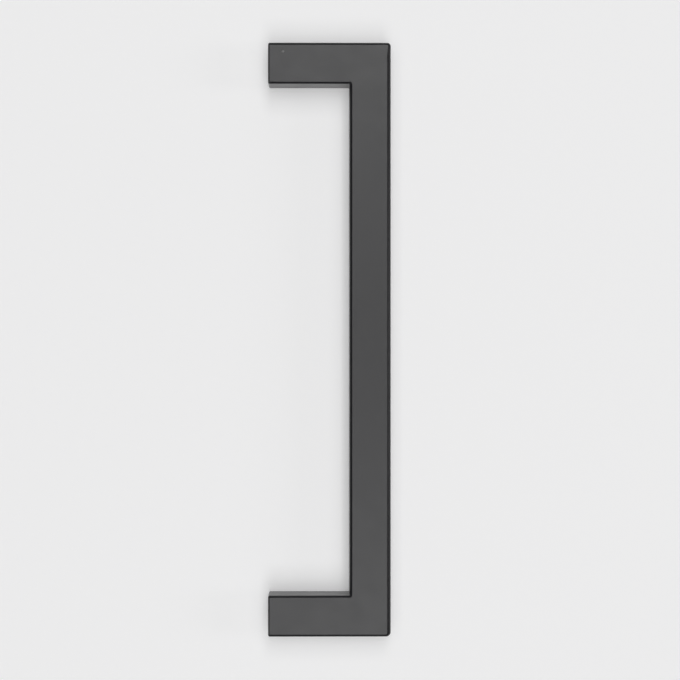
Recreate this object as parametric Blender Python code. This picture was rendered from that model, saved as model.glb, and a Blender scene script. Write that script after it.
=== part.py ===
"""Door pull handle: square tube, mitred and welded into a grip with a leg at each end.

The handle lies on its side, as it would on a bench. +X runs from the feet, which meet the door, to the grip.
+Y runs along the grip, from the lower leg to the upper one. Z runs across the tube, from the bench upwards.
The origin is on the bench, under the middle of the handle.
"""

import math

import bmesh
import bpy

# Driving dimensions, in metres
TUBE_SECTION = 0.019  # outside width of the square tube
TUBE_WALL = 0.0015
FIXING_CENTRES = 0.254  # from one fixing hole to the other
PROJECTION = 0.0564  # from the door to the front of the grip
LONG_EDGE_RADIUS = 0.0015  # along the tube's own four edges
FRONT_EDGE_RADIUS = 0.002  # along the front of the grip, eased for the hand
MITRE_CORNER_RADIUS = 0.002  # outside of each welded corner, ground round
WELD_FILLET_RADIUS = 0.0009  # inside of each welded corner
FOOT_RIM_RADIUS = 0.0002  # the sawn foot, deburred
BORE_EDGE_RADIUS = 0.0005  # inside of the tube's four edges

PLUG_LENGTH = 0.016
PLUG_CLEARANCE = 0.0003  # between a plug and the tube, all round
PLUG_EDGE_CHAMFER = 0.0008
PLUG_TAPER_LENGTH = 0.0012  # lead-in on the plug's inner end, which starts it in the tube
PLUG_TAPER_DEPTH = 0.0006
THREAD_DIAMETER = 0.008
THREAD_PITCH = 0.00125
COUNTERSINK_DEPTH = 0.0009

# Facets
EDGE_SEGMENTS = 8
FILLET_SEGMENTS = 6
HOLE_SEGMENTS = 48
RIM_SEGMENTS = 2
CREASE_ANGLE = math.radians(30)
SAWN_ANGLE = math.radians(80)

# Places worked out from the sizes
LEG_Y = FIXING_CENTRES / 2
HALF_LENGTH = LEG_Y + TUBE_SECTION / 2
FOOT_X = -PROJECTION / 2
FRONT_X = PROJECTION / 2
AXIS_Z = TUBE_SECTION / 2
BORE_WIDTH = TUBE_SECTION - 2 * TUBE_WALL
PLUG_WIDTH = BORE_WIDTH - 2 * PLUG_CLEARANCE
TAPPING_RADIUS = (THREAD_DIAMETER - THREAD_PITCH) / 2

CUTTER_OVERRUN = 0.002  # how far a cutting shape stands out of what it cuts
SAME_PLACE = 1e-6  # points closer than this count as one
WEIGHT_LAYER = "bevel_weight_edge"


def clear_scene():
    for obj in list(bpy.data.objects):
        bpy.data.objects.remove(obj, do_unlink=True)


def shading_tree():
    """A node tree that shades a solid smooth, with a crease wherever its faces meet at more than an angle."""
    tree = bpy.data.node_groups.new("shade smooth below an angle", "GeometryNodeTree")
    tree.is_modifier = True
    tree.interface.new_socket("Geometry", in_out="INPUT", socket_type="NodeSocketGeometry")
    tree.interface.new_socket("Geometry", in_out="OUTPUT", socket_type="NodeSocketGeometry")
    given = tree.nodes.new("NodeGroupInput")
    edge_angle = tree.nodes.new("GeometryNodeInputMeshEdgeAngle")
    is_shallow = tree.nodes.new("FunctionNodeCompare")
    is_shallow.operation = "LESS_THAN"
    is_shallow.inputs["B"].default_value = CREASE_ANGLE
    smooth_faces = tree.nodes.new("GeometryNodeSetShadeSmooth")
    smooth_edges = tree.nodes.new("GeometryNodeSetShadeSmooth")
    smooth_edges.domain = "EDGE"
    result = tree.nodes.new("NodeGroupOutput")
    tree.links.new(given.outputs["Geometry"], smooth_faces.inputs["Geometry"])
    tree.links.new(smooth_faces.outputs["Geometry"], smooth_edges.inputs["Geometry"])
    tree.links.new(edge_angle.outputs["Unsigned Angle"], is_shallow.inputs["A"])
    tree.links.new(is_shallow.outputs["Result"], smooth_edges.inputs["Shade Smooth"])
    tree.links.new(smooth_edges.outputs["Geometry"], result.inputs["Geometry"])
    return tree


def shade(obj, tree):
    """Creases the sharp edges, then keeps the flat faces flat beside their rounded edges."""
    creases = obj.modifiers.new("creases", "NODES")
    creases.node_group = tree
    normals = obj.modifiers.new("flat faces", "WEIGHTED_NORMAL")
    normals.keep_sharp = True


def paint(name, colour, roughness, metallic):
    """A Principled material in one colour."""
    material = bpy.data.materials.new(name)
    material.use_nodes = True
    shader = material.node_tree.nodes["Principled BSDF"]
    shader.inputs["Base Color"].default_value = (*colour, 1.0)
    shader.inputs["Roughness"].default_value = roughness
    shader.inputs["Metallic"].default_value = metallic
    material.diffuse_color = (*colour, 1.0)
    return material


def add_object(name, bm, material=None):
    """Turns a bmesh into an object of that name, with its faces pointing out."""
    bmesh.ops.recalc_face_normals(bm, faces=bm.faces)
    mesh = bpy.data.meshes.new(name)
    bm.to_mesh(mesh)
    bm.free()
    obj = bpy.data.objects.new(name, mesh)
    bpy.context.scene.collection.objects.link(obj)
    if material:
        mesh.materials.append(material)
    return obj


def mark_as_cutter(obj):
    obj.hide_render = True
    obj.display_type = "WIRE"


def cut(obj, cutter):
    mark_as_cutter(cutter)
    boolean = obj.modifiers.new(cutter.name, "BOOLEAN")
    boolean.operation = "DIFFERENCE"
    boolean.solver = "EXACT"
    boolean.object = cutter


def round_weighted_edges(obj, largest_radius):
    """Rounds each edge by its bevel weight, which is its share of the largest radius."""
    bevel = obj.modifiers.new("rounded edges", "BEVEL")
    bevel.limit_method = "WEIGHT"
    bevel.offset_type = "OFFSET"
    bevel.width = largest_radius
    bevel.segments = EDGE_SEGMENTS


def deburr(obj):
    """Eases the square edges that a saw leaves. The rounded edges are too shallow to be caught."""
    bevel = obj.modifiers.new("deburred rim", "BEVEL")
    bevel.limit_method = "ANGLE"
    bevel.angle_limit = SAWN_ANGLE
    bevel.offset_type = "OFFSET"
    bevel.width = FOOT_RIM_RADIUS
    bevel.segments = RIM_SEGMENTS


def inside_corner(x, y, turn, radius):
    """The arc that fills an inside corner at (x, y), as points from its leg to the grip or back.

    The leg runs off towards -X. turn is +1 where the leg lies above the corner and -1 where it lies below.
    """
    if radius <= 0:
        return [(x, y)]
    steps = [index / FILLET_SEGMENTS * math.pi / 2 for index in range(FILLET_SEGMENTS + 1)]
    centre = (x - radius, y - turn * radius)
    return [(centre[0] + radius * math.sin(a), centre[1] + turn * radius * math.cos(a)) for a in steps]


def handle_outline(inset, foot_x, fillet):
    """The handle's outline from above, drawn in by inset everywhere but at the feet."""
    front = FRONT_X - inset
    back = FRONT_X - TUBE_SECTION + inset
    outer = HALF_LENGTH - inset
    inner = HALF_LENGTH - TUBE_SECTION + inset
    outline = [(foot_x, outer), (foot_x, inner)]
    outline += inside_corner(back, inner, 1, fillet)
    outline += reversed(inside_corner(back, -inner, -1, fillet))
    outline += [(foot_x, -inner), (foot_x, -outer), (front, -outer), (front, outer)]
    return outline


def extruded_outline(outline, low, high):
    """The outline as a prism from z = low to z = high."""
    bm = bmesh.new()
    base = bm.faces.new([bm.verts.new((x, y, low)) for x, y in outline])
    walls = bmesh.ops.extrude_face_region(bm, geom=[base])["geom"]
    raised = [item for item in walls if isinstance(item, bmesh.types.BMVert)]
    bmesh.ops.translate(bm, verts=raised, vec=(0, 0, high - low))
    return bm


def skin_edge_radius(edge):
    """The rounding that one edge of the tube's outer prism gets. Its ends are sawn off later."""
    start, end = (vertex.co for vertex in edge.verts)
    upright = abs(start.z - end.z) > SAME_PLACE
    at_end = max(start.x, end.x) < FOOT_X
    at_front = min(start.x, end.x) > FRONT_X - SAME_PLACE
    if at_end:
        return 0.0
    if upright:
        return MITRE_CORNER_RADIUS if at_front else 0.0
    return FRONT_EDGE_RADIUS if at_front else LONG_EDGE_RADIUS


def bore_edge_radius(edge):
    """The rounding that one edge of the tube's bore gets: its upright edges are raw mitres."""
    start, end = (vertex.co for vertex in edge.verts)
    upright = abs(start.z - end.z) > SAME_PLACE
    at_end = max(start.x, end.x) < FOOT_X
    return 0.0 if upright or at_end else BORE_EDGE_RADIUS


def weigh_edges(bm, radius_of, largest_radius):
    weights = bm.edges.layers.float.new(WEIGHT_LAYER)
    for edge in bm.edges:
        edge[weights] = radius_of(edge) / largest_radius


def foot_saw_cutter():
    """A slab on the door's side of both feet, which cuts them off in one plane."""
    bm = bmesh.new()
    bmesh.ops.create_cube(bm, size=1.0)
    width = 2 * (HALF_LENGTH + CUTTER_OVERRUN)
    height = TUBE_SECTION + 2 * CUTTER_OVERRUN
    bmesh.ops.scale(bm, verts=bm.verts, vec=(2 * CUTTER_OVERRUN, width, height))
    bmesh.ops.translate(bm, verts=bm.verts, vec=(FOOT_X - CUTTER_OVERRUN, 0, AXIS_Z))
    return add_object("foot_saw_cutter", bm)


def bore_cutter():
    """The space inside the tube, which runs through both mitres and out of both feet."""
    outline = handle_outline(TUBE_WALL, FOOT_X - CUTTER_OVERRUN, 0.0)
    bm = extruded_outline(outline, TUBE_WALL, TUBE_SECTION - TUBE_WALL)
    weigh_edges(bm, bore_edge_radius, BORE_EDGE_RADIUS)
    cutter = add_object("tube_bore_cutter", bm)
    round_weighted_edges(cutter, BORE_EDGE_RADIUS)
    return cutter


def pull_body(material):
    """The welded tube: grip and two legs, hollow throughout and open at the feet."""
    outline = handle_outline(0.0, FOOT_X - CUTTER_OVERRUN, WELD_FILLET_RADIUS)
    bm = extruded_outline(outline, 0.0, TUBE_SECTION)
    largest = max(LONG_EDGE_RADIUS, FRONT_EDGE_RADIUS, MITRE_CORNER_RADIUS)
    weigh_edges(bm, skin_edge_radius, largest)
    body = add_object("pull_body", bm, material)
    round_weighted_edges(body, largest)
    cut(body, foot_saw_cutter())
    deburr(body)
    cut(body, bore_cutter())
    return body


def chamfered_square(half_width, chamfer):
    """The corners of a square with cut corners, round the leg's axis, as (y, z)."""
    flat = half_width - chamfer
    corners = []
    for sign_y, sign_z in ((1, 1), (-1, 1), (-1, -1), (1, -1)):
        pair = [(sign_y * half_width, sign_z * flat), (sign_y * flat, sign_z * half_width)]
        corners += pair if sign_y == sign_z else reversed(pair)
    return corners


def plug_block():
    """The plug before drilling, from its foot face at x = 0 to its tapered inner end."""
    half = PLUG_WIDTH / 2
    taper_start = PLUG_LENGTH - PLUG_TAPER_LENGTH
    sections = [(0.0, half), (taper_start, half), (PLUG_LENGTH, half - PLUG_TAPER_DEPTH)]
    bm = bmesh.new()
    rings = []
    for x, half_width in sections:
        corners = chamfered_square(half_width, PLUG_EDGE_CHAMFER)
        rings.append([bm.verts.new((x, y, z)) for y, z in corners])
    for ring, following in zip(rings, rings[1:]):
        for index in range(len(ring)):
            after = (index + 1) % len(ring)
            bm.faces.new((ring[index], ring[after], following[after], following[index]))
    bm.faces.new(rings[0])
    bm.faces.new(rings[-1])
    return bm


def turned_profile(profile):
    """Spins a profile of (x, radius) points about the X axis. It starts and ends on the axis."""
    bm = bmesh.new()
    points = [bm.verts.new((x, 0.0, radius)) for x, radius in profile]
    edges = [bm.edges.new(pair) for pair in zip(points, points[1:])]
    turn = {"cent": (0, 0, 0), "axis": (1, 0, 0), "angle": math.tau, "steps": HOLE_SEGMENTS}
    bmesh.ops.spin(bm, geom=points + edges, use_merge=True, **turn)
    bmesh.ops.remove_doubles(bm, verts=bm.verts, dist=SAME_PLACE)
    return bm


def tapped_hole_profile():
    """The drilled hole with a countersink at each end, at the size that a tap would need."""
    core = TAPPING_RADIUS
    wide = core + COUNTERSINK_DEPTH
    past_foot = -CUTTER_OVERRUN
    past_end = PLUG_LENGTH + CUTTER_OVERRUN
    mouth = [(past_foot, 0.0), (past_foot, wide), (0.0, wide), (COUNTERSINK_DEPTH, core)]
    inner_end = [(PLUG_LENGTH - COUNTERSINK_DEPTH, core), (PLUG_LENGTH, wide), (past_end, wide), (past_end, 0.0)]
    return mouth + inner_end


def foot_plug(name, leg_y, material):
    """A plug in the mouth of one leg, flush with the foot and tapped through for the fixing bolt."""
    plug = add_object(name, plug_block(), material)
    cutter = add_object(f"{name}_hole_cutter", turned_profile(tapped_hole_profile()))
    for obj in (plug, cutter):
        obj.location = (FOOT_X, leg_y, AXIS_Z)
    cut(plug, cutter)
    return plug


def main():
    clear_scene()
    black_coat = paint("black powder coat", (0.021, 0.021, 0.023), 0.5, 0.0)
    plated_steel = paint("zinc plated steel", (0.55, 0.56, 0.57), 0.35, 1.0)
    creases = shading_tree()
    shade(pull_body(black_coat), creases)
    for name, leg_y in (("upper_foot_plug", LEG_Y), ("lower_foot_plug", -LEG_Y)):
        shade(foot_plug(name, leg_y, plated_steel), creases)


main()
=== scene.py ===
"""Finishes a square door pull: a coated, mitred tube with a tapped steel plug in each foot, in a soft studio.

The handle lies on its side. +X runs from the feet to the grip, +Y along the grip, +Z up from the floor.
All sizes are in metres.
"""

import math
import random

import bmesh
import bpy
from bpy.props import FloatProperty, FloatVectorProperty, IntProperty, PointerProperty
from mathutils import Matrix, Vector


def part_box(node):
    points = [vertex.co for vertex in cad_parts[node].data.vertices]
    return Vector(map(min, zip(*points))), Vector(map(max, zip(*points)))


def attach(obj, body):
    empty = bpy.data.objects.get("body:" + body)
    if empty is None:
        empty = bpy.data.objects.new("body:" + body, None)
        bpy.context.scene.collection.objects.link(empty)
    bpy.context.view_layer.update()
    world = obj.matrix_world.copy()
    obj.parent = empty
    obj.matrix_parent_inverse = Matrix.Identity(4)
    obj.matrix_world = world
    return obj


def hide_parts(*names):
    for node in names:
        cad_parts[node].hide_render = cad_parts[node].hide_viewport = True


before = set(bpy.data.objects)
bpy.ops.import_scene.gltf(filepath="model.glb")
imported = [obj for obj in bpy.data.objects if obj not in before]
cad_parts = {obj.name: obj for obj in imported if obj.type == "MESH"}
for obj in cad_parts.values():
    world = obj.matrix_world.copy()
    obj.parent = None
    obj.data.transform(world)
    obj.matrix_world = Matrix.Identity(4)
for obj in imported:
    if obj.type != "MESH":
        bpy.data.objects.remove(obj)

bl_info = {
    "name": "Square Door Pull",
    "version": (1, 0, 0),
    "blender": (4, 5, 0),
    "location": "3D View > Sidebar > Door Pull",
    "description": "Builds a coated square door pull, its foot plugs and a soft studio",
    "category": "Add Mesh",
}

BODY = "root"
TUBE_NODE = "pull_body"
PLUG_NODES = {"upper_tapped_plug": "upper_foot_plug", "lower_tapped_plug": "lower_foot_plug"}
COAT_SLOT = "black_coat"
STEEL_SLOT = "plated_steel"

# The boxes of the tube and of one plug give the sizes that the frame already holds
TUBE_LOW, TUBE_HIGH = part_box(TUBE_NODE)
PLUG_LOW, PLUG_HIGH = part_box(PLUG_NODES["upper_tapped_plug"])
SECTION = TUBE_HIGH.z - TUBE_LOW.z
AXIS_Z = (TUBE_LOW.z + TUBE_HIGH.z) / 2
LEG_Y = (PLUG_LOW.y + PLUG_HIGH.y) / 2

OVERRUN = 0.003  # how far a cutting shape stands out of what it cuts
SAME_PLACE = 1e-6  # points closer than this are one point
CREASE_ANGLE = math.radians(35)
SAWN_ANGLE = math.radians(80)
OUTLINE_CORNERS = 8  # four on the frame's outer side and four on its inner side
RIM_SEGMENTS = 3
TAP_ROWS_PER_TURN = 16
TAP_COLUMNS = 72
# The flats of the thread's form, as shares of its pitch
ROOT_FLAT = 0.125
CREST_FLAT = 0.25

# Widths and depths of the fine marks in each finish
TONE_PATCH = 0.03
GLOSS_PATCH = 0.009
GLOSS_SPREAD = 0.02  # of roughness, either way
RIPPLE_DEPTH = 1e-5
GRAIN_DEPTH = 4e-6
DRAWN_LINE = 0.0003
DRAWN_LINE_DEPTH = 4e-6
DRAWN_STRETCH = (0.1, 0.1, 1.0)  # makes the lines ten times as long along X and Y
TURNED_RING = 0.00022
TURNED_RING_DEPTH = 1.2e-6
PLATING_CLOUD = 0.002
# The pale grey that the nib's middle is lightened towards: a painted highlight
NIB_HIGHLIGHT_COLOUR = (0.19, 0.19, 0.19)
DUST_ROUGHNESS = 0.6
DUST_CRUMB = 0.0003
DUST_CRUMB_DEPTH = 1e-5
PAPER_TOOTH = 0.0008
# Noise keeps mostly between these
NOISE_LOW = 0.3
NOISE_HIGH = 0.7

# The speck of dust. The last three are shares of its length
NIB_SEED = 7
NIB_RINGS = 6
NIB_SPOKES = 28
NIB_LUMPS = (0.8, 1.15)  # how far its outline goes in and out, as shares of its radius
NIB_LEAN = 0.2
NIB_WIDTH = 0.75
NIB_CORE = 0.1  # the radius within which the nib is roughest and its painted highlight brightest

# The photograph, 680 by 680 pixels, seen from straight above
IMAGE_SIZE = 680
PIXEL = 0.000459  # the size of one pixel at the handle's upper side
HANDLE_CENTRE_PX = (329.45, 339.8)
BELOW_LENS_PX = (319.0, 335.5)  # the point straight below the lens
NIB_PX = (283.0, 51.5)  # a speck of dust under the coat of the upper leg

SENSOR_WIDTH = 36.0  # in millimetres

PANEL_HEIGHT = 8.0  # of the level panels, and the low panel's distance from the middle of the floor
# The angles from the zenith that each level panel covers, in degrees, along X and along Y
LEVEL_PANELS = {
    "upper_panel": ((-6, 14), (4, 38)),
    "lower_panel": ((-6, 14), (-38, -4)),
    "feet_panel": ((-20, -6), (-20, 20)),
    "grip_panel": ((14, 28), (-20, 20)),
}
LOW_PANEL_ELEVATION = 28.5  # degrees above the floor
LOW_PANEL_SIZE = (1.82, 2.82)  # along Y, and up its slope

FLOOR_REACH = 3.6  # from the middle of the floor to its edges
FLOOR_CLEARANCE = 2e-5  # keeps the floor out of the plane of the tube's flat underside
# The sines of the angles above the floor where the pale band starts to fade and where it ends
BAND_FADES = 0.06
BAND_ENDS = 0.18


def from_pixel(x, y):
    """Where a pixel of the photograph falls on the handle's upper side."""
    across = (x - HANDLE_CENTRE_PX[0]) * PIXEL
    up = (HANDLE_CENTRE_PX[1] - y) * PIXEL
    return Vector((across, up, TUBE_HIGH.z))


# Sizes and colours that a user would change


def length(name, default, description):
    sizes = {"min": 0.0, "subtype": "DISTANCE", "unit": "LENGTH", "precision": 5}
    return FloatProperty(name=name, description=description, default=default, **sizes)


def colour(name, default, description):
    limits = {"subtype": "COLOR", "size": 3, "min": 0.0, "max": 1.0}
    return FloatVectorProperty(name=name, description=description, default=default, **limits)


def share(name, default, description):
    limits = {"subtype": "FACTOR", "min": 0.0, "max": 1.0}
    return FloatProperty(name=name, description=description, default=default, **limits)


def power(name, default, description):
    watts = {"min": 0.0, "subtype": "POWER", "unit": "POWER"}
    return FloatProperty(name=name, description=description, default=default, **watts)


def brightness(name, default, description):
    return FloatProperty(name=name, description=description, default=default, min=0.0)


def count(name, default, least, description):
    return IntProperty(name=name, description=description, default=default, min=least)


class TubeSettings(bpy.types.PropertyGroup):
    wall: length("Wall", 0.0015, "Thickness of the tube's wall")
    long_edge: length("Long edges", 0.0015, "Rounding along the tube's edges")
    front_edge: length("Front edges", 0.002, "Rounding along the front of the grip")
    front_taper: length("Front taper", 0.005, "Length over which the front edges narrow to the upper corner")
    front_step: length("Front step", 0.001, "Distance between the points along the front edges")
    upper_corner: length("Upper corner", 0.00158, "Radius that the upper outside corner is ground to")
    lower_corner: length("Lower corner", 0.00215, "Radius that the lower outside corner is ground to")
    fillet: length("Weld fillet", 0.0004, "Rounding inside the two corners")
    rim: length("Foot rim", 0.00075, "Deburring round each sawn foot")
    bore_edge: length("Bore edges", 0.0005, "Rounding along the inside of the tube")
    rows: count("Rounding rows", 13, 3, "Rows of points across each rounded edge")


class PlugSettings(bpy.types.PropertyGroup):
    thread: length("Thread", 0.008, "Nominal diameter of the fixing thread")
    pitch: length("Pitch", 0.00125, "Distance from one turn of the thread to the next")
    countersink: length("Countersink", 0.0009, "Depth of the countersink at each end")
    edge_chamfer: length("Edge chamfer", 0.0008, "Cut along the plug's long edges")
    taper_length: length("Taper length", 0.0012, "Length of the lead-in on the inner end")
    taper_depth: length("Taper depth", 0.0006, "How far the lead-in draws in")
    face_chamfer: length("Face chamfer", 0.00015, "Break round the foot face")


class CoatSettings(bpy.types.PropertyGroup):
    colour: colour("Colour", (0.0075, 0.0073, 0.0092), "Colour of the powder coat")
    roughness: share("Roughness", 0.3, "How matt the powder coat is")
    ripple: length("Ripple", 0.0016, "Width of one ripple in the coat")
    grain: length("Grain", 0.00022, "Width of one grain of the coat")
    nib_length: length("Nib length", 0.0017, "Length of the speck of dust under the coat")
    nib_height: length("Nib height", 0.00008, "Height of the speck of dust under the coat")


class StudioSettings(bpy.types.PropertyGroup):
    floor: colour("Floor", (0.80, 0.80, 0.805), "Colour of the pale floor")
    floor_glow: share("Floor glow", 0.255, "Light that comes up through the floor")
    lens_height: length("Lens height", 0.965, "Height of the lens above the handle's upper side")
    upper_panel: power("Upper panel", 226.0, "Light from beyond the upper leg")
    lower_panel: power("Lower panel", 220.0, "Light from beyond the lower leg")
    feet_panel: power("Feet panel", 86.0, "Light from above the feet's side")
    grip_panel: power("Grip panel", 54.0, "Light from above the grip's side")
    low_panel: power("Low panel", 44.0, "Light from low down on the grip's side")
    room: brightness("Room", 0.02, "Brightness of the dim room overhead")
    horizon: brightness("Horizon", 0.81, "Brightness of the room along the floor")


SETTINGS = {
    "door_pull_tube": TubeSettings,
    "door_pull_plug": PlugSettings,
    "door_pull_coat": CoatSettings,
    "door_pull_studio": StudioSettings,
}


# Node trees


class Field:
    """A socket of a node tree. Sums, products and comparisons of fields add the Math nodes they need."""

    def __init__(self, tree, socket):
        self.tree = tree
        self.socket = socket

    def __add__(self, other):
        return math_node("ADD", self, other)

    def __sub__(self, other):
        return math_node("SUBTRACT", self, other)

    def __rsub__(self, other):
        return math_node("SUBTRACT", other, self)

    def __mul__(self, other):
        return math_node("MULTIPLY", self, other)

    def __truediv__(self, other):
        return math_node("DIVIDE", self, other)

    def __gt__(self, other):
        return math_node("GREATER_THAN", self, other)

    def __lt__(self, other):
        return math_node("LESS_THAN", self, other)

    __radd__ = __add__


def add_node(tree, kind, inputs=None, **settings):
    """Adds a node. Each of its inputs is linked to a field, or set to a value."""
    made = tree.nodes.new(kind)
    for name, value in settings.items():
        setattr(made, name, value)
    for key, value in (inputs or {}).items():
        if isinstance(value, Field):
            tree.links.new(value.socket, made.inputs[key])
        else:
            made.inputs[key].default_value = value
    return made


def field(tree, kind, output=0, inputs=None, **settings):
    """Adds a node and gives one of its outputs."""
    return Field(tree, add_node(tree, kind, inputs, **settings).outputs[output])


def math_node(operation, *values):
    tree = next(value.tree for value in values if isinstance(value, Field))
    return field(tree, "ShaderNodeMath", inputs=dict(enumerate(values)), operation=operation)


def pick(choice, chosen, otherwise):
    """One value where choice is 1 and the other where it is 0."""
    return otherwise + choice * (chosen - otherwise)


def split(vector):
    """The X, Y and Z of a vector."""
    parts = add_node(vector.tree, "ShaderNodeSeparateXYZ", {0: vector})
    return [Field(vector.tree, socket) for socket in parts.outputs]


def combine(tree, x, y, z):
    return field(tree, "ShaderNodeCombineXYZ", inputs={0: x, 1: y, 2: z})


def set_position(geometry, **place):
    """Puts each point of a geometry at its Position, or moves it by an Offset."""
    return field(geometry.tree, "GeometryNodeSetPosition", inputs={"Geometry": geometry, **place})


def flipped(mesh):
    return field(mesh.tree, "GeometryNodeFlipFaces", inputs={"Mesh": mesh})


def join(*parts):
    together = add_node(parts[0].tree, "GeometryNodeJoinGeometry")
    for part in parts:
        part.tree.links.new(part.socket, together.inputs[0])
    return Field(parts[0].tree, together.outputs[0])


def keep(geometry, socket_type, name, value):
    """Stores a value on each point of a geometry. Gives the geometry and the stored value."""
    tree = geometry.tree
    store = tree.nodes.new("GeometryNodeCaptureAttribute")
    store.capture_items.new(socket_type, name)
    tree.links.new(geometry.socket, store.inputs["Geometry"])
    tree.links.new(value.socket, store.inputs[name])
    return Field(tree, store.outputs["Geometry"]), Field(tree, store.outputs[name])


def new_shape_tree(name, lengths, counts):
    """A geometry tree, and its inputs by name: these lengths and counts, and a material."""
    tree = bpy.data.node_groups.new(name, "GeometryNodeTree")
    tree.is_modifier = True
    tree.interface.new_socket("Geometry", in_out="INPUT", socket_type="NodeSocketGeometry")
    for size in lengths:
        tree.interface.new_socket(size, in_out="INPUT", socket_type="NodeSocketFloat").subtype = "DISTANCE"
    for number in counts:
        tree.interface.new_socket(number, in_out="INPUT", socket_type="NodeSocketInt")
    tree.interface.new_socket("Material", in_out="INPUT", socket_type="NodeSocketMaterial")
    tree.interface.new_socket("Geometry", in_out="OUTPUT", socket_type="NodeSocketGeometry")
    given = tree.nodes.new("NodeGroupInput")
    return tree, {socket.name: Field(tree, socket) for socket in given.outputs if socket.name}


def end_tree(tree, geometry, material):
    """Welds a tree's shape and ends it in real geometry of one material."""
    welded = field(tree, "GeometryNodeMergeByDistance", inputs={"Geometry": geometry, "Distance": SAME_PLACE})
    realized = field(tree, "GeometryNodeRealizeInstances", inputs={"Geometry": welded})
    painted = field(tree, "GeometryNodeSetMaterial", inputs={"Geometry": realized, "Material": material})
    add_node(tree, "NodeGroupOutput", {"Geometry": painted})
    return tree


def frame_outline(tree, given):
    """The outline of the three-sided frame as a closed curve of eight corners, each with its rounding.

    The front gets points along its length, so that its edges can narrow towards the upper corner.
    """
    line = field(tree, "GeometryNodeCurvePrimitiveLine")
    line = field(tree, "GeometryNodeResampleCurve", inputs={"Curve": line, "Count": OUTLINE_CORNERS})
    front, half_length = given["Front"], given["Half Length"]
    section, inset = given["Section"], given["Inset"]
    index = field(tree, "GeometryNodeInputIndex")
    upper = index < OUTLINE_CORNERS / 2 - 0.5
    # Along each half, 0 and 3 are at the grip and 1 and 2 at a foot, and 0 and 1 are on the outer side
    along = pick(upper, index, OUTLINE_CORNERS - 1.0 - index)
    outer = along < 1.5
    at_foot = math_node("ABSOLUTE", along - 1.5) < 1.0
    grip_x = pick(outer, front - inset, front - section + inset)
    x = pick(at_foot, given["Foot"], grip_x)
    half = pick(outer, half_length - inset, half_length - section + inset)
    y = half * pick(upper, 1.0, -1.0)
    corner = pick(upper, given["Upper Corner Radius"], given["Lower Corner Radius"])
    at_grip = pick(outer, corner, given["Fillet Radius"])
    line, rounding = keep(line, "FLOAT", "Rounding", pick(at_foot, corner, at_grip))
    outline = set_position(line, Position=combine(tree, x, y, 0.0))
    closed = field(tree, "GeometryNodeSetSplineCyclic", inputs={"Geometry": outline, "Cyclic": True})
    fillet = {"Curve": closed, "Count": given["Rows"], "Radius": rounding}
    rounded = field(tree, "GeometryNodeFilletCurve", inputs=fillet, mode="POLY")
    at_x, at_y, _ = split(field(tree, "GeometryNodeInputPosition"))
    starts_front = (at_x > front - inset - SAME_PLACE) * (at_y < 0.0)
    cuts = starts_front * given["Front Cuts"]
    return field(tree, "GeometryNodeSubdivideCurve", inputs={"Curve": rounded, "Cuts": cuts})


def drawn_in(place, outward, inset, height):
    """A place on the outline moved inwards, at a height."""
    x, y, _ = split(place)
    out_x, out_y, _ = split(outward)
    return combine(place.tree, x - out_x * inset, y - out_y * inset, height)


def edge_strip(tree, given, outline, place, outward, radius):
    """The frame's side walls with their rounded lower and upper edges.

    It has two sets of rows. The first climbs round the lower edge, from flat to upright, and the second
    goes back round the upper one.
    """
    line = field(tree, "GeometryNodeCurvePrimitiveLine")
    line = field(tree, "GeometryNodeResampleCurve", inputs={"Curve": line, "Count": given["Rows"] * 2.0})
    line, row = keep(line, "FLOAT", "Row", field(tree, "GeometryNodeInputIndex"))
    strip = field(tree, "GeometryNodeCurveToMesh", inputs={"Curve": outline, "Profile Curve": line})
    upper = row > given["Rows"] - 0.5
    climb = (row - upper * given["Rows"]) / (given["Rows"] - 1.0)
    steepness = pick(upper, 1.0 - climb, climb)  # 0 where the surface lies flat, 1 where it stands upright
    angle = steepness * (math.pi / 2)
    inset = radius * (1.0 - math_node("SINE", angle))
    rise = radius * (1.0 - math_node("COSINE", angle))
    height = pick(upper, given["High"] - rise, given["Low"] + rise)
    return flipped(set_position(strip, Position=drawn_in(place, outward, inset, height)))


def tube_frame_tree():
    """A solid frame of three square bars with rounded edges, drawn in by Inset all round but at the feet."""
    lengths = ("Front", "Foot", "Half Length", "Section", "Inset", "Low", "High")
    lengths += ("Upper Corner Radius", "Lower Corner Radius", "Fillet Radius")
    lengths += ("Edge Radius", "Front Edge Radius", "Front Taper")
    tree, given = new_shape_tree("square tube frame", lengths, ("Rows", "Front Cuts"))
    outline = frame_outline(tree, given)
    tangent = field(tree, "GeometryNodeInputTangent")
    upright = (0.0, 0.0, 1.0)
    normal = field(tree, "ShaderNodeVectorMath", inputs={0: tangent, 1: upright}, operation="CROSS_PRODUCT")
    to_front = math_node("MAXIMUM", split(normal)[0], 0.0)
    from_corner = given["Half Length"] - split(field(tree, "GeometryNodeInputPosition"))[1]
    full_from = given["Upper Corner Radius"] + given["Front Taper"]
    narrow = {"Value": from_corner, "From Min": given["Upper Corner Radius"], "From Max": full_from}
    fullness = field(tree, "ShaderNodeMapRange", inputs=narrow, interpolation_type="SMOOTHSTEP")
    grown = (given["Front Edge Radius"] - given["Edge Radius"]) * fullness
    edge_radius = given["Edge Radius"] + grown * to_front * to_front
    outline, place = keep(outline, "VECTOR", "Place", field(tree, "GeometryNodeInputPosition"))
    outline, outward = keep(outline, "VECTOR", "Outward", normal)
    outline, radius = keep(outline, "FLOAT", "Edge radius", edge_radius)
    flat = set_position(outline, Position=drawn_in(place, outward, radius, 0.0))
    face = field(tree, "GeometryNodeFillCurve", inputs={"Curve": flat}, mode="NGONS")
    upper_side = set_position(face, Offset=combine(tree, 0.0, 0.0, given["High"]))
    lower_side = flipped(set_position(face, Offset=combine(tree, 0.0, 0.0, given["Low"])))
    strip = edge_strip(tree, given, outline, place, outward, radius)
    return end_tree(tree, join(strip, lower_side, upper_side), given["Material"])


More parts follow.
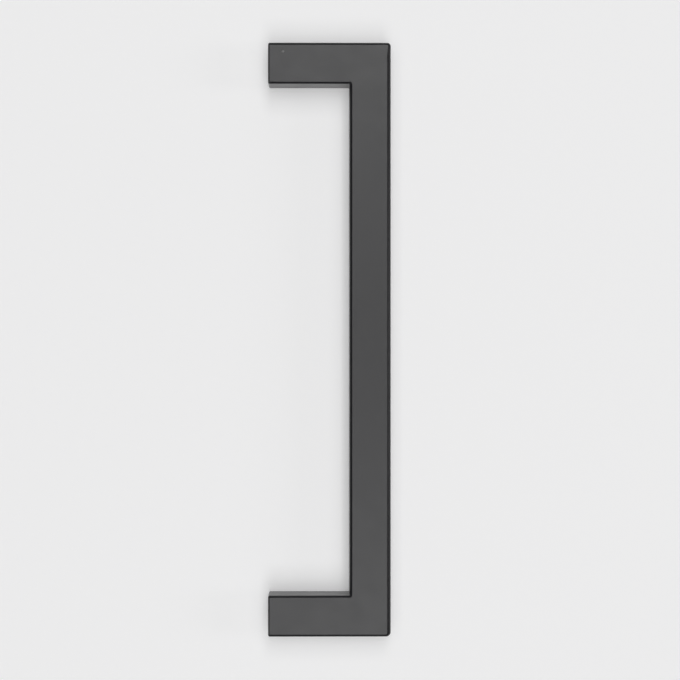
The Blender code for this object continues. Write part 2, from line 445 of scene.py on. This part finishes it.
def thread_form(tree, row, given):
    """The radius of each row of the tap: flat at the crest and at the root, with sloping flanks between."""
    phase = math_node("FRACT", row / given["Rows Per Turn"])
    from_root = math_node("ABSOLUTE", phase * 2.0 - 1.0)
    limits = {"Value": from_root, "From Min": ROOT_FLAT, "From Max": 1.0 - CREST_FLAT}
    depth = field(tree, "ShaderNodeMapRange", inputs=limits)
    return given["Root Radius"] + depth * (given["Core Radius"] - given["Root Radius"])


def tap_tree():
    """The shape that a tap cuts, along +X from x = 0: a helical thread with a countersink at each end.

    Each row of the grid follows the helix, and each turn's last column meets the next turn's first one.
    """
    lengths = ("Length", "Core Radius", "Root Radius", "Pitch", "Countersink", "Overrun")
    tree, given = new_shape_tree("tap", lengths, ("Rows Per Turn", "Columns"))
    rise = given["Pitch"] / given["Rows Per Turn"]
    margin = given["Overrun"] + given["Pitch"] * 2.0  # two turns to spare at each end
    rows = math_node("CEIL", (given["Length"] + margin * 2.0) / rise)
    size = {"Size X": 1.0, "Size Y": 1.0, "Vertices X": given["Columns"] + 1.0, "Vertices Y": rows + 1.0}
    grid = field(tree, "GeometryNodeMeshGrid", inputs=size)
    across, down, _ = split(field(tree, "GeometryNodeInputPosition"))
    turn = across + 0.5
    row = math_node("ROUND", (down + 0.5) * rows)
    along = row * rise + turn * given["Pitch"] - margin
    along = math_node("MINIMUM", along, given["Length"] + given["Overrun"])
    along = math_node("MAXIMUM", along, 0.0 - given["Overrun"])
    into_end = math_node("MAXIMUM", 0.0 - along, along - given["Length"])
    cone = given["Core Radius"] + given["Countersink"] + into_end
    radius = math_node("MAXIMUM", thread_form(tree, row, given), cone)
    between_ends = (row > 0.5) * (row < rows - 0.5)
    radius = radius * between_ends
    angle = turn * math.tau
    place = combine(tree, along, radius * math_node("COSINE", angle), radius * math_node("SINE", angle))
    return end_tree(tree, set_position(grid, Position=place), given["Material"])


# Materials


def new_material(name, base):
    """A node material, its Principled shader and the place in its piece."""
    material = bpy.data.materials.new(name)
    material.use_nodes = True
    material.diffuse_color = (*base, 1.0)
    tree = material.node_tree
    place = field(tree, "ShaderNodeTexCoord", "Object")
    return material, tree.nodes["Principled BSDF"], place


def noise(place, cell, detail=2.0):
    """Noise whose cells are about this many metres across."""
    inputs = {"Vector": place, "Scale": 1.0 / cell, "Detail": detail}
    return field(place.tree, "ShaderNodeTexNoise", "Fac", inputs)


def ranged(factor, low, high):
    """A value from low to high, by a noise factor."""
    limits = {"Value": factor, "From Min": NOISE_LOW, "From Max": NOISE_HIGH, "To Min": low, "To Max": high}
    return field(factor.tree, "ShaderNodeMapRange", "Result", limits)


def shades(factor, base, darkest, lightest):
    """Shades of one colour, by a noise factor."""
    ramp = add_node(factor.tree, "ShaderNodeValToRGB", {"Fac": factor})
    ramp.color_ramp.elements[0].position = NOISE_LOW
    ramp.color_ramp.elements[1].position = NOISE_HIGH
    for element, shade in zip(ramp.color_ramp.elements, (darkest, lightest)):
        element.color = (*(channel * shade for channel in base), 1.0)
    return Field(factor.tree, ramp.outputs["Color"])


def bump(height, depth, under=None):
    """A bump this deep, over another one if it is given."""
    inputs = {"Height": height, "Distance": depth, "Strength": 1.0}
    if under:
        inputs["Normal"] = under
    return field(height.tree, "ShaderNodeBump", "Normal", inputs)


def feed(shader, **inputs):
    """Fills the shader's inputs, named with underscores for spaces, from fields and numbers."""
    for name, value in inputs.items():
        socket = shader.inputs[name.replace("_", " ")]
        if isinstance(value, Field):
            value.tree.links.new(value.socket, socket)
        else:
            socket.default_value = value


def powder_coat(coat):
    """Fine matt black powder coat, with a slow ripple, a fine grain and a faint change of tone."""
    base = tuple(coat.colour)
    material, shader, place = new_material("fine matt black powder coat", base)
    ripple = bump(noise(place, coat.ripple), RIPPLE_DEPTH)
    grain = bump(noise(place, coat.grain, 1.0), GRAIN_DEPTH, ripple)
    gloss = noise(place, GLOSS_PATCH)
    rough = ranged(gloss, coat.roughness - GLOSS_SPREAD, coat.roughness + GLOSS_SPREAD)
    tone = shades(noise(place, TONE_PATCH), base, 0.95, 1.05)
    feed(shader, Base_Color=tone, Roughness=rough, Normal=grain, IOR=1.45)
    return material


def drawn_steel():
    """Bare cold-drawn steel inside the tube, with fine level lines along its upright walls."""
    base = (0.21, 0.2, 0.19)
    material, shader, place = new_material("bare drawn steel", base)
    stretched = field(place.tree, "ShaderNodeMapping", inputs={"Vector": place, "Scale": DRAWN_STRETCH})
    lines = noise(stretched, DRAWN_LINE)
    feed(shader, Base_Color=shades(lines, base, 0.8, 1.2), Normal=bump(lines, DRAWN_LINE_DEPTH))
    feed(shader, Metallic=1.0, Roughness=0.48)
    return material


def plated_steel():
    """Zinc-plated steel with the rings that a facing cut leaves round each hole."""
    base = (0.6, 0.61, 0.62)
    material, shader, place = new_material("zinc plated steel", base)
    _, y, z = split(place)
    from_hole_y = math_node("ABSOLUTE", y) - LEG_Y
    from_hole_z = z - AXIS_Z
    reach = math_node("SQRT", from_hole_y * from_hole_y + from_hole_z * from_hole_z)
    rings = math_node("SINE", reach * (math.tau / TURNED_RING))
    cloud = noise(place, PLATING_CLOUD)
    feed(shader, Base_Color=shades(cloud, base, 0.85, 1.05), Roughness=ranged(cloud, 0.26, 0.36))
    feed(shader, Normal=bump(rings, TURNED_RING_DEPTH), Metallic=1.0)
    return material


def nib_coat_with_painted_highlight(coat, centre):
    """The coat over a speck of dust: rough in the middle, where its colour is lightened towards pale grey as
    a painted highlight, and whole again at the rim.
    """
    material, shader, place = new_material("coat over dust", NIB_HIGHLIGHT_COLOUR)
    crumbs = noise(place, DUST_CRUMB)
    reach = field(place.tree, "ShaderNodeVectorMath", "Value", {0: place, 1: centre}, operation="DISTANCE")
    fade = {"Value": reach, "From Min": coat.nib_length * NIB_CORE, "From Max": coat.nib_length / 2}
    fade |= {"To Min": 1.0, "To Max": 0.2}
    uneven = crumbs * 0.4 + 0.8  # close to 1
    # The mask of the rough middle and the painted highlight is over NOISE_HIGH in the middle and under
    # NOISE_LOW at the rim
    rough_middle_and_highlight = field(place.tree, "ShaderNodeMapRange", "Result", fade) * uneven
    whole = coat.colour[0] / NIB_HIGHLIGHT_COLOUR[0]
    rough = ranged(rough_middle_and_highlight, coat.roughness, DUST_ROUGHNESS)
    # Lightens the coat's colour towards the nib's middle: a painted highlight
    feed(shader, Base_Color=shades(rough_middle_and_highlight, NIB_HIGHLIGHT_COLOUR, whole, 1.0), Roughness=rough)
    feed(shader, Normal=bump(crumbs, DUST_CRUMB_DEPTH))
    return material


def pale_paper(base, glow):
    """The paper of a light table: it scatters the lights above it and lets a little light up from below."""
    material, shader, place = new_material("pale paper", base)
    tooth = noise(place, PAPER_TOOTH)
    feed(shader, Base_Color=shades(tooth, base, 0.995, 1.005), Roughness=0.9, Specular_IOR_Level=0.2)
    feed(shader, Emission_Color=(1.0, 1.0, 1.0, 1.0), Emission_Strength=glow)
    return material


# Shapes


def add_object(name, data):
    obj = bpy.data.objects.new(name, data)
    bpy.context.scene.collection.objects.link(obj)
    return obj


def mesh_object(name, bm, material):
    """Turns a bmesh into an object of one material, with its faces pointing out."""
    bmesh.ops.recalc_face_normals(bm, faces=bm.faces)
    mesh = bpy.data.meshes.new(name)
    bm.to_mesh(mesh)
    bm.free()
    mesh.materials.append(material)
    return add_object(name, mesh)


def block(name, low, high, material):
    """A plain box between two corners, for cutting. What it cuts takes on its material."""
    bm = bmesh.new()
    bmesh.ops.create_cube(bm, size=1.0)
    bmesh.ops.scale(bm, verts=bm.verts, vec=Vector(high) - Vector(low))
    bmesh.ops.translate(bm, verts=bm.verts, vec=(Vector(low) + Vector(high)) / 2)
    return mesh_object(name, bm, material)


def as_plain_mesh(obj):
    """Swaps an object's mesh for its evaluated one and takes its modifiers off."""
    depsgraph = bpy.context.evaluated_depsgraph_get()
    depsgraph.update()
    evaluated = obj.evaluated_get(depsgraph)
    mesh = bpy.data.meshes.new_from_object(evaluated, preserve_all_data_layers=True, depsgraph=depsgraph)
    mesh.name = obj.name
    obj.modifiers.clear()
    obj.data = mesh
    if not mesh.polygons:
        raise RuntimeError(f"{obj.name} came out empty")
    return obj


def grow(name, tree, **sizes):
    """The shape of a geometry tree as a plain mesh, made from sizes named as its inputs with underscores."""
    obj = add_object(name, bpy.data.meshes.new(name))
    modifier = obj.modifiers.new(tree.name, "NODES")
    modifier.node_group = tree
    inputs = {item.name: item.identifier for item in tree.interface.items_tree if item.in_out == "INPUT"}
    for size, value in sizes.items():
        modifier[inputs[size.replace("_", " ")]] = value
    return as_plain_mesh(obj)


def cut(obj, cutter):
    boolean = obj.modifiers.new(cutter.name, "BOOLEAN")
    boolean.operation = "DIFFERENCE"
    boolean.solver = "EXACT"
    boolean.material_mode = "TRANSFER"
    boolean.object = cutter


def deburr(obj, width):
    bevel = obj.modifiers.new("deburred rim", "BEVEL")
    bevel.limit_method = "ANGLE"
    bevel.angle_limit = SAWN_ANGLE
    bevel.width = width
    bevel.segments = RIM_SEGMENTS
    bevel.use_clamp_overlap = False


def finish_piece(obj, *cutters):
    """Applies what shapes a piece, creases its real edges and keeps its flat faces flat."""
    as_plain_mesh(obj)
    for cutter in cutters:
        bpy.data.objects.remove(cutter, do_unlink=True)
    obj.data.shade_smooth()
    obj.data.set_sharp_from_angle(angle=CREASE_ANGLE)
    normals = obj.modifiers.new("flat faces", "WEIGHTED_NORMAL")
    normals.keep_sharp = True
    return as_plain_mesh(obj)


def fit(piece, slot, *nodes):
    """Ties a piece to the handle's body and hides the solids that it stands for. The slot is not used."""
    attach(piece, BODY)
    if nodes:
        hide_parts(*nodes)


def frame_bar(name, tree, tube, material, inset, corners, fillet, edge, front_edge):
    """The tube's skin or bore as a solid frame that runs out past both feet."""
    narrows = front_edge > edge
    return grow(
        name,
        tree,
        Front=TUBE_HIGH.x,
        Foot=TUBE_LOW.x - OVERRUN,
        Half_Length=TUBE_HIGH.y,
        Section=SECTION,
        Inset=inset,
        Low=TUBE_LOW.z + inset,
        High=TUBE_HIGH.z - inset,
        Upper_Corner_Radius=corners[0],
        Lower_Corner_Radius=corners[1],
        Fillet_Radius=fillet,
        Edge_Radius=edge,
        Front_Edge_Radius=front_edge,
        Front_Taper=tube.front_taper,
        Rows=tube.rows,
        Front_Cuts=round((TUBE_HIGH.y - TUBE_LOW.y) / tube.front_step) if narrows else 0,
        Material=material,
    )


def coated_tube(tube, coat):
    """The welded frame of tube: hollow throughout, sawn off and deburred at the feet."""
    tree = tube_frame_tree()
    skin = {"inset": 0.0, "corners": (tube.upper_corner, tube.lower_corner), "fillet": tube.fillet}
    skin |= {"edge": tube.long_edge, "front_edge": tube.front_edge}
    black = powder_coat(coat)
    body = frame_bar("coated_tube", tree, tube, black, **skin)
    bore_corner = 2 * tube.bore_edge  # wider than the rounded edges that meet in it
    inside = {"inset": tube.wall, "corners": (bore_corner, bore_corner), "fillet": tube.bore_edge}
    inside |= {"edge": tube.bore_edge, "front_edge": tube.bore_edge}
    bore = frame_bar("tube_bore", tree, tube, drawn_steel(), **inside)
    saw_low = (TUBE_LOW.x - 2 * OVERRUN, TUBE_LOW.y - OVERRUN, TUBE_LOW.z - OVERRUN)
    saw_high = (TUBE_LOW.x, TUBE_HIGH.y + OVERRUN, TUBE_HIGH.z + OVERRUN)
    saw = block("foot_saw", saw_low, saw_high, black)
    cut(body, saw)
    deburr(body, tube.rim)
    cut(body, bore)
    return finish_piece(body, saw, bore)


def plug_outline(half_width, chamfer):
    """The corners of a square with cut corners, round a leg's axis, as (y, z)."""
    flat = half_width - chamfer
    corners = []
    for sign_y, sign_z in ((1, 1), (-1, 1), (-1, -1), (1, -1)):
        pair = [(sign_y * half_width, sign_z * flat), (sign_y * flat, sign_z * half_width)]
        corners += pair if sign_y == sign_z else reversed(pair)
    return corners


def plug_block(name, low, high, plug, material):
    """A plug before tapping: chamfered along its edges, broken at its face and tapered at its inner end."""
    half = (high.z - low.z) / 2
    sections = [
        (low.x, half - plug.face_chamfer),
        (low.x + plug.face_chamfer, half),
        (high.x - plug.taper_length, half),
        (high.x, half - plug.taper_depth),
    ]
    bm = bmesh.new()
    rings = []
    for x, half_width in sections:
        corners = plug_outline(half_width, plug.edge_chamfer)
        rings.append([bm.verts.new((x, (low.y + high.y) / 2 + y, AXIS_Z + z)) for y, z in corners])
    for ring, following in zip(rings, rings[1:]):
        for index, vert in enumerate(ring):
            after = (index + 1) % len(ring)
            bm.faces.new((vert, ring[after], following[after], following[index]))
    bm.faces.new(rings[0])
    bm.faces.new(rings[-1])
    return mesh_object(name, bm, material)


def tapped_plug(name, node, plug, tree, material):
    """A plug with its tapped and countersunk hole."""
    low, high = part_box(node)
    body = plug_block(name, low, high, plug, material)
    tap = grow(
        f"{name}_tap",
        tree,
        Length=high.x - low.x,
        Core_Radius=(plug.thread - plug.pitch) / 2,
        Root_Radius=plug.thread / 2,
        Pitch=plug.pitch,
        Countersink=plug.countersink,
        Overrun=OVERRUN,
        Rows_Per_Turn=TAP_ROWS_PER_TURN,
        Columns=TAP_COLUMNS,
        Material=material,
    )
    tap.data.transform(Matrix.Translation((low.x, (low.y + high.y) / 2, AXIS_Z)))
    cut(body, tap)
    return finish_piece(body, tap)


def coating_nib(coat):
    """A speck of dust under the coat: a low, lumpy mound on the upper leg, steep towards the other leg."""
    rng = random.Random(NIB_SEED)
    centre = from_pixel(*NIB_PX)
    lumps = [rng.uniform(*NIB_LUMPS) for _ in range(NIB_SPOKES)]
    bm = bmesh.new()
    lean = coat.nib_length * NIB_LEAN
    top = bm.verts.new(centre + Vector((0, -lean, coat.nib_height)))
    previous = None
    for ring in range(1, NIB_RINGS + 1):
        reach = ring / NIB_RINGS
        height = coat.nib_height * (0.5 + 0.5 * math.cos(math.pi * reach))
        verts = []
        for spoke, lump in enumerate(lumps):
            angle = spoke * math.tau / NIB_SPOKES
            across = coat.nib_length / 2 * reach * lump
            down = lean * (1 - reach)
            x = math.cos(angle) * across * NIB_WIDTH
            y = math.sin(angle) * across - down
            verts.append(bm.verts.new(centre + Vector((x, y, height))))
        for index, vert in enumerate(verts):
            following = (index + 1) % NIB_SPOKES
            if previous is None:
                bm.faces.new((top, vert, verts[following]))
            else:
                bm.faces.new((previous[index], vert, verts[following], previous[following]))
        previous = verts
    below = [bm.verts.new(vert.co - Vector((0, 0, 2 * coat.nib_height))) for vert in previous]
    for index, vert in enumerate(previous):
        following = (index + 1) % NIB_SPOKES
        bm.faces.new((vert, below[index], below[following], previous[following]))
    bm.faces.new(below)
    # The nib's lighter middle is a painted highlight in its material; the mound itself is real
    nib = mesh_object("coating_nib", bm, nib_coat_with_painted_highlight(coat, centre))
    nib.data.shade_smooth()
    return nib


def studio_floor(base, glow):
    """The pale floor, just under the tube's flat side."""
    bm = bmesh.new()
    bmesh.ops.create_grid(bm, x_segments=1, y_segments=1, size=FLOOR_REACH)
    bmesh.ops.translate(bm, verts=bm.verts, vec=(0.0, 0.0, TUBE_LOW.z - FLOOR_CLEARANCE))
    return mesh_object("studio_floor", bm, pale_paper(base, glow))


def look_from(obj, place, target):
    """Puts a camera or a light at a place, facing a target below it, with its top towards +Y."""
    back = (place - target).normalized()
    right = Vector((0.0, 1.0, 0.0)).cross(back).normalized()
    obj.location = place
    obj.rotation_euler = Matrix((right, back.cross(right), back)).transposed().to_euler()


def soft_panel(name, x_angles, y_angles, watts):
    """A level soft light high above the handle, over a range of angles from the zenith, in degrees."""
    edges = [math.tan(math.radians(angle)) * PANEL_HEIGHT for angle in (*x_angles, *y_angles)]
    low_x, high_x, low_y, high_y = edges
    light = bpy.data.lights.new(name, "AREA")
    light.shape = "RECTANGLE"
    light.size = high_x - low_x
    light.size_y = high_y - low_y
    light.energy = watts
    add_object(name, light).location = ((low_x + high_x) / 2, (low_y + high_y) / 2, PANEL_HEIGHT)


def low_soft_panel(name, elevation, size, watts):
    """A soft light low down on the grip's side, facing the handle."""
    light = bpy.data.lights.new(name, "AREA")
    light.shape = "RECTANGLE"
    light.size_y, light.size = size
    light.energy = watts
    angle = math.radians(elevation)
    place = Vector((math.cos(angle), 0.0, math.sin(angle))) * PANEL_HEIGHT
    look_from(add_object(name, light), place, Vector((0.0, 0.0, 0.0)))


def dim_room(overhead, horizon):
    """A room that is dim overhead and pale along the floor."""
    world = bpy.data.worlds.new("dim room")
    world.use_nodes = True
    tree = world.node_tree
    _, _, up = split(field(tree, "ShaderNodeTexCoord", "Generated"))
    band = {"Value": up, "From Min": BAND_ENDS, "From Max": BAND_FADES, "To Min": overhead, "To Max": horizon}
    strength = field(tree, "ShaderNodeMapRange", "Result", band, interpolation_type="SMOOTHSTEP")
    tree.links.new(strength.socket, tree.nodes["Background"].inputs["Strength"])
    tree.nodes["Background"].inputs["Color"].default_value = (1.0, 1.0, 1.0, 1.0)
    bpy.context.scene.world = world


def overhead_camera(lens_height):
    """The photograph's view, from above and a little towards the feet."""
    data = bpy.data.cameras.new("overhead_camera")
    data.sensor_width = SENSOR_WIDTH
    data.lens = lens_height / PIXEL / IMAGE_SIZE * SENSOR_WIDTH
    camera = add_object("overhead_camera", data)
    place = from_pixel(*BELOW_LENS_PX) + Vector((0.0, 0.0, lens_height))
    look_from(camera, place, from_pixel(IMAGE_SIZE / 2, IMAGE_SIZE / 2))
    bpy.context.scene.camera = camera


# Operators


class DOORPULL_OT_coated_tube(bpy.types.Operator):
    """Builds the hollow, mitred tube with its ground corners and its black coat"""

    bl_idname = "doorpull.coated_tube"
    bl_label = "Coated Tube"

    def execute(self, context):
        scene = context.scene
        fit(coated_tube(scene.door_pull_tube, scene.door_pull_coat), COAT_SLOT, TUBE_NODE)
        return {"FINISHED"}


class DOORPULL_OT_tapped_plugs(bpy.types.Operator):
    """Builds the tapped steel plug in each foot"""

    bl_idname = "doorpull.tapped_plugs"
    bl_label = "Tapped Plugs"

    def execute(self, context):
        tree = tap_tree()
        steel = plated_steel()
        for name, node in PLUG_NODES.items():
            fit(tapped_plug(name, node, context.scene.door_pull_plug, tree, steel), STEEL_SLOT, node)
        return {"FINISHED"}


class DOORPULL_OT_coating_nib(bpy.types.Operator):
    """Builds the speck of dust under the coat of the upper leg, with a painted highlight in its middle"""

    bl_idname = "doorpull.coating_nib"
    bl_label = "Coating Nib"

    def execute(self, context):
        fit(coating_nib(context.scene.door_pull_coat), COAT_SLOT)
        return {"FINISHED"}


class DOORPULL_OT_studio(bpy.types.Operator):
    """Builds the pale floor, the soft lights and the camera above"""

    bl_idname = "doorpull.studio"
    bl_label = "Studio"

    def execute(self, context):
        studio = context.scene.door_pull_studio
        studio_floor(tuple(studio.floor), studio.floor_glow)
        for name, angles in LEVEL_PANELS.items():
            soft_panel(name, *angles, getattr(studio, name))
        low_soft_panel("low_panel", LOW_PANEL_ELEVATION, LOW_PANEL_SIZE, studio.low_panel)
        dim_room(studio.room, studio.horizon)
        overhead_camera(studio.lens_height)
        context.scene.view_settings.view_transform = "Standard"
        return {"FINISHED"}


OPERATORS = (DOORPULL_OT_coated_tube, DOORPULL_OT_tapped_plugs, DOORPULL_OT_coating_nib, DOORPULL_OT_studio)


class DOORPULL_PT_panel(bpy.types.Panel):
    """Lists the steps that build the handle and its studio"""

    bl_label = "Door Pull"
    bl_space_type = "VIEW_3D"
    bl_region_type = "UI"
    bl_category = "Door Pull"

    def draw(self, context):
        for operator in OPERATORS:
            self.layout.operator(operator.bl_idname)


CLASSES = (*SETTINGS.values(), *OPERATORS, DOORPULL_PT_panel)


def register():
    for cls in CLASSES:
        bpy.utils.register_class(cls)
    for name, settings in SETTINGS.items():
        setattr(bpy.types.Scene, name, PointerProperty(type=settings))


def unregister():
    for name in SETTINGS:
        delattr(bpy.types.Scene, name)
    for cls in reversed(CLASSES):
        bpy.utils.unregister_class(cls)


def main():
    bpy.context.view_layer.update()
    register()
    bpy.ops.doorpull.coated_tube()
    bpy.ops.doorpull.tapped_plugs()
    bpy.ops.doorpull.coating_nib()
    bpy.ops.doorpull.studio()


if __name__ == "__main__":
    main()
